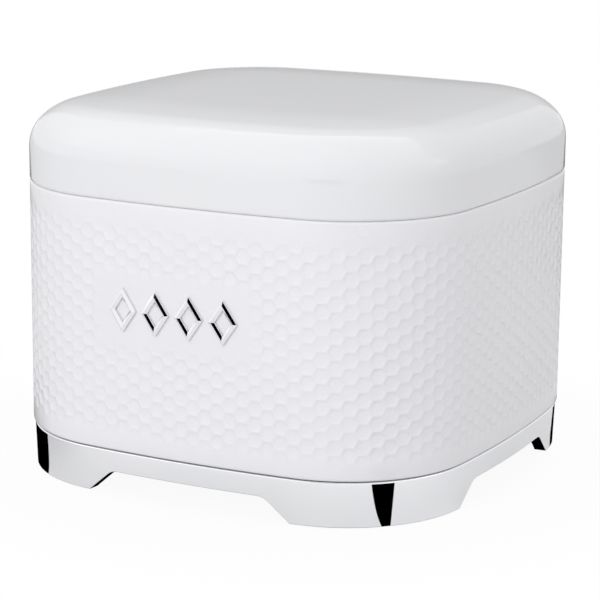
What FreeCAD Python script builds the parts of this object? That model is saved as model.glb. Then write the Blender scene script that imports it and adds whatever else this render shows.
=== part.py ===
import FreeCAD, Part
import math
import os

# Square cake tin: an enamelled sheet-steel body with a lift-off cap, standing on a chrome plinth.
# Sizes are in millimetres. The origin is on the ground under the middle of the tin, +Z is up and
# the front, with its row of ornaments, faces -Y.

# Plan of the body: a square with bowed sides and large round corners.
BODY_HALF = 135.0       # middle of the tin to the middle of a side
CORNER_R = 75.0         # outside of the wall at a corner
SIDE_R = 740.0          # bow of each side

# Heights.
PAD_PROUD = 0.6         # the rubber pads stand this far below the feet
PLINTH_H = 25.0         # underside of a foot to the plinth's top
BODY_H = 139.0          # underside of the wall's hem to the ledge that carries the lid
LID_H = 45.3            # ledge to the middle of the lid's top

# Wall: one folded sheet, hemmed in under the floor and stepped in to the neck.
WALL_T = 0.8
HEM_R = 3.2             # inside of the bottom edge
HEM_FLANGE = 12.0       # reach of the bottom flange, from the wall's outside
SHOULDER_R = 0.7        # inside of the turn below the lid
STEP_R = 0.6            # outside of the turn at the foot of the neck
NECK_SHORT = 0.7        # top of the neck below the start of the lid's roll
NECK_CURL_R = 0.8       # inside of the neck's rim
NECK_LIP = 1.5          # flat of the neck's rim beyond its curl

# Floor: a pressed tray that lies on the wall's bottom flange.
FLOOR_T = 0.8
TRAY_GAP = 0.35         # tray rim to the inside of the wall
TRAY_RIM_H = 9.0

# Lid: one pressed sheet, its skirt curled in at the bottom, with a two-radius roll and a low crown.
LID_T = 0.8
CURL_R = 1.2            # inside of the curled lower edge
CURL_FLAT = 1.2         # flat of the lower edge beyond its curl
NECK_GAP = 0.8          # lower edge to the neck
ROLL_LOW_R = 21.5       # roll above the skirt
ROLL_TOP_R = 33.5       # roll towards the top
ROLL_SPLIT = 45.0       # degrees at which the two rolls meet
CROWN_SLOPE = 2.2       # degrees of rise from the roll to the flat middle
CORE_R = 5.0            # corner radius of the flat middle

# Seal: a silicone ring that stands on the lid's lower edge and wipes the neck with two lips.
SEAL_H = 8.5
SEAL_FOOT = 0.7         # how much of the ring stands on the flat of the lower edge
SEAL_GAP = 0.3          # ring to the inside of the skirt
LIP_GAP = 0.35          # lips to the neck
LIP_ROOT = 2.0          # height of a lip where it leaves the ring

# Plinth: a chrome-plated ring, open to the inside, with an arch cut under each side.
PLINTH_IN = 1.0         # top edge of the plinth inside the line of the wall
PLINTH_LEAN = 0.9       # how much further in the foot of the plinth stands
PLINTH_W = 8.0
PLINTH_WALL = 2.5
PLINTH_EDGE_R = 1.0     # rounded upper edge
FOOT_EDGE_R = 0.6       # rounded lower edge
ARCH_H = 13.0
FOOT_REACH = 72.5       # outside of the body to the end of a foot, along a side
ARCH_RUN = 15.5         # length of the arch's sloping end
ARCH_R = 10.0           # round between the slope and the top of the arch

# Lugs, studs and nuts that hold the plinth, one set at the middle of each side.
STUD_D = 4.0
STUD_BRIM = 2.0         # stud's base beyond its shank
STUD_TAIL = 1.5         # stud below the nut
STUD_ROOM = 2.0         # stud's base or nut to the flange or plinth beside it
LUG_RIM = 2.2           # lug beyond the nut
LUG_GAP = 0.3           # stud to its hole, all round
NUT_H = 4.0
NUT_WALL = 1.5          # thread to the flats
NUT_BRIM = 1.25         # nut's flange beyond the flats
NUT_BRIM_T = 0.8
THREAD_GAP = 0.1        # stud to the nut, all round

# Rubber pads, let into the feet round the corners.
PAD_EDGE = 1.6          # recess inside the faces of the foot
PAD_END = 13.0          # pad short of the end of its foot, along a side
PAD_ROOF = 1.0          # plinth left above the recess
PAD_GAP = 0.3           # pad to the sides of its recess

# Ornaments: a row of open lozenges with roofed bars, stuck to the front wall.
LOZENGE_COUNT = 4
LOZENGE_H = 24.5
LOZENGE_W = 17.0
LOZENGE_BAR = 3.0       # width of a bar
LOZENGE_EDGE = 0.9      # height of a bar's upright edges
LOZENGE_RIDGE = 1.1     # rise of the ridge above the edges
LOZENGE_SPACE = 3.6     # between neighbours
ROW_X = -6.2            # middle of the row, along the wall
ROW_UP = 80.4           # middle of the row above the wall's hem
TAPE_T = 0.4
TAPE_INSET = 0.4        # tape inside the edge of a bar
GLUE = 0.05             # tape to the wall

# How far a cutting shape runs past what it cuts.
CUT = 5.0

UP = FreeCAD.Vector(0, 0, 1)
MIDDLE = FreeCAD.Vector(0, 0, 0)
QUARTERS = (0, 90, 180, 270)

# Heights above the ground.
FOOT_Z = PAD_PROUD
BODY_Z = FOOT_Z + PLINTH_H
FLOOR_Z = BODY_Z + WALL_T
LEDGE_Z = BODY_Z + BODY_H

# Plan: the bow's centre lies beyond the middle, and a corner's centre lies on the diagonal.
BOW = SIDE_R - BODY_HALF
CORNER = (math.sqrt(2 * (SIDE_R - CORNER_R) ** 2 - BOW ** 2) - BOW) / 2
CORE_IN = CORNER_R - CORE_R

# Lid's profile.
CURL_OUT_R = CURL_R + LID_T
LID_FLANGE = CURL_OUT_R + CURL_FLAT
SPLIT = math.radians(ROLL_SPLIT)
SLOPE = math.radians(CROWN_SLOPE)
ROLL_IN = ROLL_LOW_R * (1 - math.cos(SPLIT)) + ROLL_TOP_R * (math.cos(SPLIT) - math.sin(SLOPE))
ROLL_UP = ROLL_LOW_R * math.sin(SPLIT) + ROLL_TOP_R * (math.cos(SLOPE) - math.sin(SPLIT))
CROWN_RUN = (CORE_IN - ROLL_IN) / math.cos(SLOPE)
SKIRT_H = LID_H - CURL_OUT_R - ROLL_UP - CROWN_RUN * math.sin(SLOPE)

# Neck, which the lid's lower edge goes round.
NECK_IN = LID_FLANGE + NECK_GAP
NECK_H = CURL_OUT_R + SKIRT_H - NECK_SHORT

# Plinth's fixings and pads.
FOOT_HALF = BODY_HALF - FOOT_REACH
NUT_FLATS = STUD_D + 2 * NUT_WALL
NUT_BRIM_R = NUT_FLATS / 2 + NUT_BRIM
STUD_BASE_R = STUD_D / 2 + STUD_BRIM
LUG_R = NUT_BRIM_R + LUG_RIM
STUD_IN = max(HEM_FLANGE + STUD_BASE_R, PLINTH_IN + PLINTH_W + NUT_BRIM_R) + STUD_ROOM
STUD_PLACE = FreeCAD.Vector(0, STUD_IN - BODY_HALF, BODY_Z)


def plan_arcs():
    """The eight arcs of the plan, each as centre, radius, first angle and sweep in degrees."""
    half_side = math.degrees(math.atan2(CORNER, CORNER + BOW))
    arcs = []
    for turn in QUARTERS:
        quarter = FreeCAD.Rotation(UP, turn)
        side = quarter.multVec(FreeCAD.Vector(-BOW, 0, 0))
        corner = quarter.multVec(FreeCAD.Vector(CORNER, CORNER, 0))
        arcs.append((side, SIDE_R, turn - half_side, 2 * half_side))
        arcs.append((corner, CORNER_R, turn + half_side, 90 - 2 * half_side))
    return arcs


def heading_vector(degrees):
    """Unit vector in a profile, where X is outwards from the plan and Z is up."""
    angle = math.radians(degrees)
    return FreeCAD.Vector(math.cos(angle), 0, math.sin(angle))


def trace(start, heading, steps, shift=0.0):
    """Edges of a run of straights and tangent arcs.

    A straight is its length, and an arc is a radius and a turn in degrees, left turns positive.
    shift moves the whole run to its left, so that a folded sheet keeps its thickness.
    """
    point = FreeCAD.Vector(start[0], 0, start[1]) + heading_vector(heading + 90) * shift
    edges = []
    for step in steps:
        if isinstance(step, tuple):
            radius, turn = step
            side = math.copysign(1, turn)
            radius = radius - side * shift
            centre = point + heading_vector(heading + 90 * side) * radius
            middle = centre + heading_vector(heading - 90 * side + turn / 2) * radius
            end = centre + heading_vector(heading - 90 * side + turn) * radius
            edges.append(Part.Arc(point, middle, end).toShape())
            heading = heading + turn
        else:
            end = point + heading_vector(heading) * step
            edges.append(Part.makeLine(point, end))
        point = end
    return edges


def first_point(edges):
    """Where a traced run starts."""
    return edges[0].valueAt(edges[0].FirstParameter)


def last_point(edges):
    """Where a traced run ends."""
    return edges[-1].valueAt(edges[-1].LastParameter)


def sheet_edges(start, heading, steps, thickness):
    """Both faces of a folded sheet and the edge at its start, in order from inner end to outer end."""
    outer = trace(start, heading, steps)
    inner = trace(start, heading, steps, thickness)
    edge = Part.makeLine(first_point(inner), first_point(outer))
    return outer, inner, edge


def closed_profile(points):
    """Closed wire through corner points given as (out, up)."""
    corners = [FreeCAD.Vector(out, 0, up) for out, up in points]
    return Part.makePolygon(corners + corners[:1])


def joined(edges):
    """One wire from edges that meet end to end, in any order."""
    return Part.Wire(Part.__sortEdges__(edges))


def round_plan(wire):
    """Faces swept by a profile that is carried once round the plan."""
    faces = []
    for centre, radius, first, sweep in plan_arcs():
        copy = wire.copy()
        copy.translate(FreeCAD.Vector(radius, 0, 0))
        copy.rotate(MIDDLE, UP, first)
        copy.translate(centre)
        faces.extend(copy.revolve(centre, UP, sweep).Faces)
    return faces


def plan_face(out, height):
    """Flat face inside the plan, moved outwards by out, at a height."""
    edges = []
    for centre, radius, first, sweep in plan_arcs():
        place = centre + UP * height
        edges.append(Part.makeCircle(radius + out, place, UP, first, first + sweep))
    return Part.Face(joined(edges))


def solid_of(faces):
    """Closed solid from faces that meet edge to edge."""
    shell = Part.makeShell(faces)
    shell.sewShape()
    solid = Part.makeSolid(shell)
    if solid.Volume < 0:
        solid.reverse()
    return solid


def ring(wire):
    """Solid of a closed profile carried round the plan."""
    return solid_of(round_plan(wire))


def sheet_ring(start, heading, steps, thickness):
    """Folded sheet carried round the plan, open in the middle."""
    outer, inner, edge = sheet_edges(start, heading, steps, thickness)
    far_edge = Part.makeLine(last_point(outer), last_point(inner))
    return ring(joined(outer + [far_edge] + inner + [edge]))


def sheet_pan(start, heading, steps, thickness):
    """Folded sheet carried round the plan, whose far end runs on as a flat middle."""
    outer, inner, edge = sheet_edges(start, heading, steps, thickness)
    faces = round_plan(joined(outer + inner + [edge]))
    for end in (last_point(outer), last_point(inner)):
        faces.append(plan_face(end.x, end.z))
    return solid_of(faces)


def each_side(shape):
    """Four copies of a shape made at the front, one for each side."""
    copies = []
    for turn in QUARTERS:
        copy = shape.copy()
        copy.rotate(MIDDLE, UP, turn)
        copies.append(copy)
    return copies


def body_wall():
    """Wall with its bottom hem, lid ledge and neck; its embossing is left plain."""
    hem_r = HEM_R + WALL_T
    shoulder_r = SHOULDER_R + WALL_T
    rim_r = NECK_CURL_R + WALL_T
    steps = [
        HEM_FLANGE - hem_r,
        (hem_r, 90),
        BODY_H - hem_r - shoulder_r,
        (shoulder_r, 90),
        NECK_IN - shoulder_r - STEP_R,
        (STEP_R, -90),
        NECK_H - STEP_R - rim_r,
        (rim_r, 90),
        NECK_LIP,
    ]
    return sheet_ring((-HEM_FLANGE, BODY_Z), 0, steps, WALL_T)


def body_floor():
    """Tray with an upturned rim, lying on the wall's bottom flange."""
    rim = WALL_T + TRAY_GAP
    steps = [TRAY_RIM_H - HEM_R, (HEM_R, -90), CORE_IN - rim - HEM_R]
    return sheet_pan((-rim, FLOOR_Z + TRAY_RIM_H), -90, steps, -FLOOR_T)


def lid_shell():
    """Cap with a curled lower edge, a straight skirt, a two-radius roll and a low crown."""
    steps = [
        CURL_FLAT,
        (CURL_OUT_R, 90),
        SKIRT_H,
        (ROLL_LOW_R, ROLL_SPLIT),
        (ROLL_TOP_R, 90 - ROLL_SPLIT - CROWN_SLOPE),
        CROWN_RUN,
    ]
    return sheet_pan((-LID_FLANGE, LEDGE_Z), 0, steps, LID_T)


def lid_seal():
    """Ring with two wiping lips, standing on the flat of the lid's lower edge."""
    outside = -LID_T - SEAL_GAP
    inside = -CURL_OUT_R - SEAL_FOOT
    lip = -NECK_IN + LIP_GAP
    base = LEDGE_Z + LID_T
    top = base + SEAL_H
    points = [(-CURL_OUT_R, base), (outside, LEDGE_Z + CURL_OUT_R), (outside, top), (inside, top)]
    for lip_z in (top - SEAL_H / 4, base + SEAL_H / 4):
        points.append((inside, lip_z + LIP_ROOT / 2))
        points.append((lip, lip_z))
        points.append((inside, lip_z - LIP_ROOT / 2))
    points.append((inside, base))
    return ring(closed_profile(points))


def arch_cutter(wall):
    """Prism under the front side: the arch itself, or the arch with a wall round it."""
    slope = math.degrees(math.atan2(ARCH_H, ARCH_RUN))
    tangent = ARCH_R * math.tan(math.radians(slope) / 2)
    ramp = math.hypot(ARCH_RUN, ARCH_H) - tangent
    flat = 2 * (FOOT_HALF - ARCH_RUN - tangent)
    steps = [ramp, (ARCH_R, -slope), flat, (ARCH_R, -slope), ramp]
    edges = trace((-FOOT_HALF, FOOT_Z), slope, steps, wall)
    low = FOOT_Z - CUT
    begin = first_point(edges)
    end = last_point(edges)
    begin_low = FreeCAD.Vector(begin.x, 0, low)
    end_low = FreeCAD.Vector(end.x, 0, low)
    edges.append(Part.makeLine(end, end_low))
    edges.append(Part.makeLine(end_low, begin_low))
    edges.append(Part.makeLine(begin_low, begin))
    prism = Part.Face(joined(edges)).extrude(FreeCAD.Vector(0, -CORNER_R, 0))
    prism.translate(FreeCAD.Vector(0, CORNER_R - BODY_HALF - CUT, 0))
    return prism


def plinth_lug():
    """Tongue at the middle of the front side, and the stud's hole through it."""
    root = -BODY_HALF + PLINTH_IN + PLINTH_W / 2
    corner = FreeCAD.Vector(-LUG_R, root, BODY_Z - PLINTH_WALL)
    bar = Part.makeBox(2 * LUG_R, STUD_PLACE.y - root, PLINTH_WALL, corner)
    end = Part.makeCylinder(LUG_R, PLINTH_WALL, STUD_PLACE, -UP)
    hole = Part.makeCylinder(STUD_D / 2 + LUG_GAP, PLINTH_WALL, STUD_PLACE, -UP)
    return bar.fuse(end).removeSplitter(), hole


def pad_solid(gap):
    """Pad under the corner between +X and +Y when the gap is nothing, or its recess with the gap."""
    outer = CORNER_R - PLINTH_IN - PLINTH_LEAN - PAD_EDGE - PAD_GAP
    inner = CORNER_R - PLINTH_IN - PLINTH_W + PAD_EDGE + PAD_GAP
    first = math.degrees(math.asin((FOOT_HALF + PAD_END - gap - CORNER) / outer))
    top = FOOT_Z + PLINTH_WALL - PAD_ROOF
    outline = [(inner - gap, 0), (outer + gap, 0), (outer + gap, top), (inner - gap, top)]
    section = closed_profile(outline)
    section.rotate(MIDDLE, UP, first)
    pad = Part.Face(section).revolve(MIDDLE, UP, 90 - 2 * first)
    pad.translate(FreeCAD.Vector(CORNER, CORNER, 0))
    return pad


def plinth():
    """Ring with arches, cored from the inside, with lugs for the studs and recesses for the pads."""
    inside = -PLINTH_IN - PLINTH_W
    lean = math.degrees(math.atan2(PLINTH_LEAN, PLINTH_H))
    foot_tangent = FOOT_EDGE_R * math.tan(math.radians(90 - lean) / 2)
    edge_tangent = PLINTH_EDGE_R * math.tan(math.radians(90 + lean) / 2)
    steps = [
        PLINTH_W - PLINTH_LEAN - foot_tangent,
        (FOOT_EDGE_R, 90 - lean),
        math.hypot(PLINTH_LEAN, PLINTH_H) - foot_tangent - edge_tangent,
        (PLINTH_EDGE_R, 90 + lean),
        PLINTH_W - edge_tangent,
    ]
    outline = trace((inside, FOOT_Z), 0, steps)
    outline.append(Part.makeLine(last_point(outline), first_point(outline)))
    body = ring(joined(outline)).cut(each_side(arch_cutter(0.0)))

    core_out = -PLINTH_IN - PLINTH_LEAN - PLINTH_WALL
    core_low = FOOT_Z + PLINTH_WALL
    core_top = BODY_Z - PLINTH_WALL
    core_in = inside - CUT
    section = [(core_in, core_low), (core_out, core_low), (core_out, core_top), (core_in, core_top)]
    core = ring(closed_profile(section)).cut(each_side(arch_cutter(PLINTH_WALL)))
    body = body.cut(core)

    lug, hole = plinth_lug()
    body = body.fuse(each_side(lug)).removeSplitter()
    body = body.cut(each_side(hole))
    return body.cut(each_side(pad_solid(PAD_GAP))).Solids[0]


def floor_stud():
    """Shouldered weld stud at the front: its base lies between the floor and the lug."""
    base = Part.makeCylinder(STUD_BASE_R, WALL_T, STUD_PLACE, UP)
    length = PLINTH_WALL + NUT_H + STUD_TAIL
    shank = Part.makeCylinder(STUD_D / 2, length, STUD_PLACE, -UP)
    return base.fuse(shank).removeSplitter()


def plinth_nut():
    """Flange nut at the front, drawn up under the lug."""
    place = STUD_PLACE - UP * PLINTH_WALL
    flange = Part.makeCylinder(NUT_BRIM_R, NUT_BRIM_T, place, -UP)
    point = FreeCAD.Vector(NUT_FLATS / math.sqrt(3), 0, 0)
    corners = [place + FreeCAD.Rotation(UP, turn).multVec(point) for turn in range(0, 361, 60)]
    hexagon = Part.Face(Part.makePolygon(corners)).extrude(-UP * NUT_H)
    bore = Part.makeCylinder(STUD_D / 2 + THREAD_GAP, NUT_H, place, -UP)
    return hexagon.fuse(flange).removeSplitter().cut(bore)


def lozenge_corners(inset, depth):
    """Corners of a lozenge whose sides lie inset from the outline, at a depth in front of its back."""
    side = math.hypot(LOZENGE_W, LOZENGE_H)
    share = 1 - 2 * inset * side / (LOZENGE_W * LOZENGE_H)
    across = LOZENGE_W / 2 * share
    along = LOZENGE_H / 2 * share
    places = [(across, 0), (0, along), (-across, 0), (0, -along)]
    return [FreeCAD.Vector(x, -depth, z) for x, z in places]


def frame_solid(levels):
    """Open lozenge whose section is a closed run of (inset, depth) corners."""
    rings = [lozenge_corners(inset, depth) for inset, depth in levels]
    faces = []
    for near, far in zip(rings, rings[1:] + rings[:1]):
        for i in range(4):
            j = (i + 1) % 4
            faces.append(Part.Face(Part.makePolygon([near[i], near[j], far[j], far[i], near[i]])))
    return solid_of(faces)


def on_front_wall(shape, index):
    """Shape moved from its own frame to its place in the row, tape and glue behind it."""
    bow_centre = FreeCAD.Vector(0, BOW, 0)
    along = ROW_X + (index - (LOZENGE_COUNT - 1) / 2) * (LOZENGE_W + LOZENGE_SPACE)
    shape.translate(FreeCAD.Vector(0, -BODY_HALF - GLUE - TAPE_T, BODY_Z + ROW_UP))
    shape.rotate(bow_centre, UP, math.degrees(along / SIDE_R))
    return shape


def lozenge(index):
    """One ornament: four bars with a ridge along each."""
    levels = [
        (0, 0),
        (0, LOZENGE_EDGE),
        (LOZENGE_BAR / 2, LOZENGE_EDGE + LOZENGE_RIDGE),
        (LOZENGE_BAR, LOZENGE_EDGE),
        (LOZENGE_BAR, 0),
    ]
    return on_front_wall(frame_solid(levels), index)


def lozenge_tape(index):
    """Adhesive pad behind one ornament, its back shaped to the bow of the wall."""
    inner = LOZENGE_BAR - TAPE_INSET
    back = -2 * TAPE_T
    levels = [(TAPE_INSET, back), (TAPE_INSET, 0), (inner, 0), (inner, back)]
    tape = on_front_wall(frame_solid(levels), index)
    low = FreeCAD.Vector(0, BOW, BODY_Z + ROW_UP - LOZENGE_H)
    wall = Part.makeCylinder(SIDE_R + GLUE, 2 * LOZENGE_H, low, UP)
    return tape.cut(wall)


def foot_pads():
    """The four pads by the name of their corner."""
    names = ["back_right", "back_left", "front_left", "front_right"]
    pads = each_side(pad_solid(0.0))
    return {"foot_pad_" + name: pad for name, pad in zip(names, pads)}


def main():
    """Build every piece and write one file for each."""
    rows = range(LOZENGE_COUNT)
    pieces = {
        "body_wall": body_wall(),
        "body_floor": body_floor(),
        "lid_shell": lid_shell(),
        "lid_seal": lid_seal(),
        "plinth": plinth(),
        "floor_studs": Part.makeCompound(each_side(floor_stud())),
        "plinth_nuts": Part.makeCompound(each_side(plinth_nut())),
        "lozenge_tapes": Part.makeCompound([lozenge_tape(i) for i in rows]),
    }
    pieces.update(foot_pads())
    for i in rows:
        pieces["lozenge_" + str(i + 1)] = lozenge(i)
    os.makedirs("parts", exist_ok=True)
    for name, shape in pieces.items():
        shape.exportStep("parts/" + name + ".step")


main()
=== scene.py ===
import logging
import math
import random
from dataclasses import dataclass, field
from enum import Enum
from functools import cached_property

import bmesh
import bpy
from mathutils import Matrix, Vector


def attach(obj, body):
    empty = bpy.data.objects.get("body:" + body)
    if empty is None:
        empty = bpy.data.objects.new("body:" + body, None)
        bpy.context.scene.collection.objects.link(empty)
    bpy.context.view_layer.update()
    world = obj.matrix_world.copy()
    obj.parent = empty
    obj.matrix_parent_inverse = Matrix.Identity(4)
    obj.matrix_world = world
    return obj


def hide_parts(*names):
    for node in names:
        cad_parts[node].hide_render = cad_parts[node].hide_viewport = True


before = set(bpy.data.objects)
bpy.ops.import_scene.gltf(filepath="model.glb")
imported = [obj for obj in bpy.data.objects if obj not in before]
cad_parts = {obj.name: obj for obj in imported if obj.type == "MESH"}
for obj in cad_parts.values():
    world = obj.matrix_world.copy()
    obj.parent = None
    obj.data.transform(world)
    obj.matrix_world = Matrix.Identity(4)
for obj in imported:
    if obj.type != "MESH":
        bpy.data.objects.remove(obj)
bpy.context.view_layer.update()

# A square cake tin of white enamelled steel with a lift-off cap, on a chrome plinth.
# Sizes are in millimetres in the classes below and become metres when a mesh is made.

MM = 0.001
LOG = logging.getLogger("cake_tin")

Profile = list[tuple[float, float]]
Step = float | tuple[float, float]


class Ride(Enum):
    """The bodies that a piece can move with."""

    TIN = "tin"
    LID = "lid"


def linear(code: str) -> tuple[float, float, float, float]:
    """Turn an sRGB hex colour into linear values.

    Args:
        code: six hex digits with a leading hash.

    Returns:
        Linear red, green, blue and an alpha of one.
    """
    parts = [int(code[i:i + 2], 16) / 255 for i in (1, 3, 5)]
    curve = [c / 12.92 if c <= 0.04045 else ((c + 0.055) / 1.055) ** 2.4 for c in parts]
    return curve[0], curve[1], curve[2], 1.0


def add_node(tree: bpy.types.NodeTree, kind: str, settings: dict | None = None,
             inputs: dict | None = None) -> bpy.types.Node:
    """Add one node with its settings, and set or link its inputs.

    Args:
        tree: the node tree that gets the node.
        kind: the node's type name.
        settings: properties by name.
        inputs: socket values by socket name or number; an output socket is linked.

    Returns:
        The new node.
    """
    node = tree.nodes.new(kind)
    for name, value in (settings or {}).items():
        setattr(node, name, value)
    for name, value in (inputs or {}).items():
        if isinstance(value, bpy.types.NodeSocket):
            tree.links.new(value, node.inputs[name])
        else:
            node.inputs[name].default_value = value
    return node


def trace(start: tuple[float, float], heading: float, steps: list[Step], shift: float = 0.0,
          arc_parts: int = 8) -> Profile:
    """Follow straights and tangent arcs in a profile of (outwards, up).

    Args:
        start: first point of the run.
        heading: first direction in degrees, 0 outwards and 90 up.
        steps: a straight is its length, an arc is a radius and a turn, left turns positive.
        shift: how far the whole run is moved to its left, for the other face of a sheet.
        arc_parts: straight parts in each arc.

    Returns:
        The points of the run.
    """
    angle = math.radians(heading)
    x = start[0] - math.sin(angle) * shift
    z = start[1] + math.cos(angle) * shift
    points = [(x, z)]
    for step in steps:
        if isinstance(step, tuple):
            side = math.copysign(1.0, step[1])
            radius = step[0] - side * shift
            turn = math.radians(step[1])
            cx = x - math.sin(angle) * radius * side
            cz = z + math.cos(angle) * radius * side
            for k in range(1, arc_parts + 1):
                a = angle + turn * k / arc_parts
                points.append((cx + math.sin(a) * radius * side, cz - math.cos(a) * radius * side))
            angle += turn
        else:
            points.append((x + math.cos(angle) * step, z + math.sin(angle) * step))
        x, z = points[-1]
    return points


@dataclass(frozen=True)
class Arc:
    """One arc of the plan: its centre, radius, first angle and sweep in radians."""

    centre: Vector
    radius: float
    first: float
    sweep: float


@dataclass(frozen=True)
class Plan:
    """The tin's outline from above: four bowed sides and four round corners."""

    half: float = 135.0
    corner_r: float = 75.0
    side_r: float = 740.0
    corner_steps: int = 40
    side_steps: int = 24
    weld: float = 0.01

    @property
    def bow(self) -> float:
        """Distance from the middle to the centre of a side's bow."""
        return self.side_r - self.half

    @property
    def corner(self) -> float:
        """Place of a corner's centre along X and along Y."""
        return (math.sqrt(2 * (self.side_r - self.corner_r) ** 2 - self.bow ** 2) - self.bow) / 2

    @property
    def half_side(self) -> float:
        """Half the angle of a side's arc."""
        return math.atan2(self.corner, self.corner + self.bow)

    @cached_property
    def arcs(self) -> list[Arc]:
        """The eight arcs in order, from the +X side round through +Y."""
        found = []
        for quarter in range(4):
            turn = quarter * math.pi / 2
            matrix = Matrix.Rotation(turn, 3, "Z")
            side = matrix @ Vector((-self.bow, 0, 0))
            corner = matrix @ Vector((self.corner, self.corner, 0))
            found.append(Arc(side, self.side_r, turn - self.half_side, 2 * self.half_side))
            corner_sweep = math.pi / 2 - 2 * self.half_side
            found.append(Arc(corner, self.corner_r, turn + self.half_side, corner_sweep))
        return found

    @cached_property
    def length(self) -> float:
        """Length of the outline."""
        return sum(arc.radius * arc.sweep for arc in self.arcs)

    def place(self, along: float, out: float, up: float) -> Vector:
        """Point on the outline.

        Args:
            along: distance along the outline, from the start of the first arc.
            out: distance outwards from the outline.
            up: height.

        Returns:
            The point, in metres.
        """
        rest = along % self.length
        for arc in self.arcs:
            if rest <= arc.radius * arc.sweep:
                break
            rest -= arc.radius * arc.sweep
        angle = arc.first + rest / arc.radius
        reach = arc.radius + out
        x = arc.centre.x + math.cos(angle) * reach
        y = arc.centre.y + math.sin(angle) * reach
        return Vector((x, y, up)) * MM

    def sweep(self, bm: bmesh.types.BMesh, profile: Profile, closed: bool = False,
              side_stops: list[float] | None = None) -> None:
        """Spin a profile round the eight arcs.

        Args:
            bm: the mesh that gets the surface.
            profile: points as (outwards, up).
            closed: whether the profile is a closed ring.
            side_stops: shares of a side's arc at which a column stands, in place of even steps.
        """
        first = self.arcs[0]
        verts = []
        for out, up in profile:
            reach = first.radius + out
            x = first.centre.x + math.cos(first.first) * reach
            y = first.centre.y + math.sin(first.first) * reach
            verts.append(bm.verts.new(Vector((x, y, up)) * MM))
        ends = verts[1:] + verts[:1] if closed else verts[1:]
        geom = verts + [bm.edges.new(pair) for pair in zip(verts, ends)]
        for number, arc in enumerate(self.arcs):
            spans = [(arc.sweep, self.corner_steps if number % 2 else self.side_steps)]
            if side_stops and number % 2 == 0:
                stops = [0.0, *side_stops, 1.0]
                spans = [(arc.sweep * (b - a), 1) for a, b in zip(stops, stops[1:])]
            for angle, steps in spans:
                spun = bmesh.ops.spin(bm, geom=geom, cent=arc.centre * MM, axis=(0, 0, 1), angle=angle,
                                      steps=steps, use_merge=False)
                geom = spun["geom_last"]
        bmesh.ops.remove_doubles(bm, verts=bm.verts[:], dist=self.weld * MM)


PLAN = Plan()


def fill_rims(bm: bmesh.types.BMesh) -> None:
    """Close every open rim with one flat face and turn all faces outwards.

    Args:
        bm: the mesh with open rims.
    """
    bmesh.ops.holes_fill(bm, edges=[e for e in bm.edges if e.is_boundary], sides=0)
    bmesh.ops.recalc_face_normals(bm, faces=bm.faces[:])


def make_piece(bm: bmesh.types.BMesh, name: str, ride: Ride, material: bpy.types.Material,
               stands_for: tuple[str, ...], sharp: float = 40.0) -> bpy.types.Object:
    """Turn a mesh into a finished piece that rides on a body.

    Args:
        bm: the mesh, which is freed.
        name: the piece's name.
        ride: the body that it moves with.
        material: the finish.
        stands_for: the solids that it shows in place of.
        sharp: edges that turn by more degrees than this stay crisp.

    Returns:
        The new object.
    """
    mesh = bpy.data.meshes.new(name)
    bm.to_mesh(mesh)
    bm.free()
    mesh.shade_smooth()
    mesh.set_sharp_from_angle(angle=math.radians(sharp))
    mesh.materials.append(material)
    piece = bpy.data.objects.new(name, mesh)
    bpy.context.scene.collection.objects.link(piece)
    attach(piece, ride.value)
    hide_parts(*stands_for)
    LOG.info("%s: %d faces", name, len(mesh.polygons))
    return piece


def dress_node(name: str, material: bpy.types.Material) -> None:
    """Give a solid that stays in view its finish.

    Args:
        name: the solid's node.
        material: the finish.
    """
    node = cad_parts[name]
    node.data.materials.clear()
    node.data.materials.append(material)
    LOG.info("%s: dressed", name)


@dataclass(frozen=True)
class Finish:
    """What every finish has: its name, two close colours, and the nodes that lay them on."""

    name: str
    colour: str
    shade: str

    def start(self) -> tuple[bpy.types.Material, bpy.types.NodeTree, bpy.types.NodeSocket]:
        """Start the material.

        Returns:
            The material, its node tree, and the place on the piece that patterns read.
        """
        made = bpy.data.materials.new(self.name)
        made.use_nodes = True
        return made, made.node_tree, add_node(made.node_tree, "ShaderNodeTexCoord").outputs["Object"]

    def lay(self, tree: bpy.types.NodeTree, patterns: tuple[bpy.types.Node, bpy.types.Node, bpy.types.Node],
            rough: tuple[float, float], depth_mm: float) -> bpy.types.Node:
        """Lay colour, gloss and relief on the surface.

        Args:
            tree: the material's node tree.
            patterns: the patterns that the colour, the gloss and the relief follow.
            rough: the lowest and highest roughness.
            depth_mm: how deep the relief is.

        Returns:
            The shader.
        """
        shader = tree.nodes["Principled BSDF"]
        colour, gloss, relief = [pattern.outputs["Fac"] for pattern in patterns]
        tint = add_node(tree, "ShaderNodeMix", {"data_type": "RGBA"},
                        {"Factor": colour, "A": linear(self.colour), "B": linear(self.shade)})
        tree.links.new(tint.outputs["Result"], shader.inputs["Base Color"])
        sheen = add_node(tree, "ShaderNodeMapRange", None,
                         {"Value": gloss, "To Min": rough[0], "To Max": rough[1]})
        tree.links.new(sheen.outputs["Result"], shader.inputs["Roughness"])
        bump = add_node(tree, "ShaderNodeBump", None,
                        {"Strength": 1.0, "Distance": depth_mm * MM, "Height": relief})
        tree.links.new(bump.outputs["Normal"], shader.inputs["Normal"])
        return shader


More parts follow.
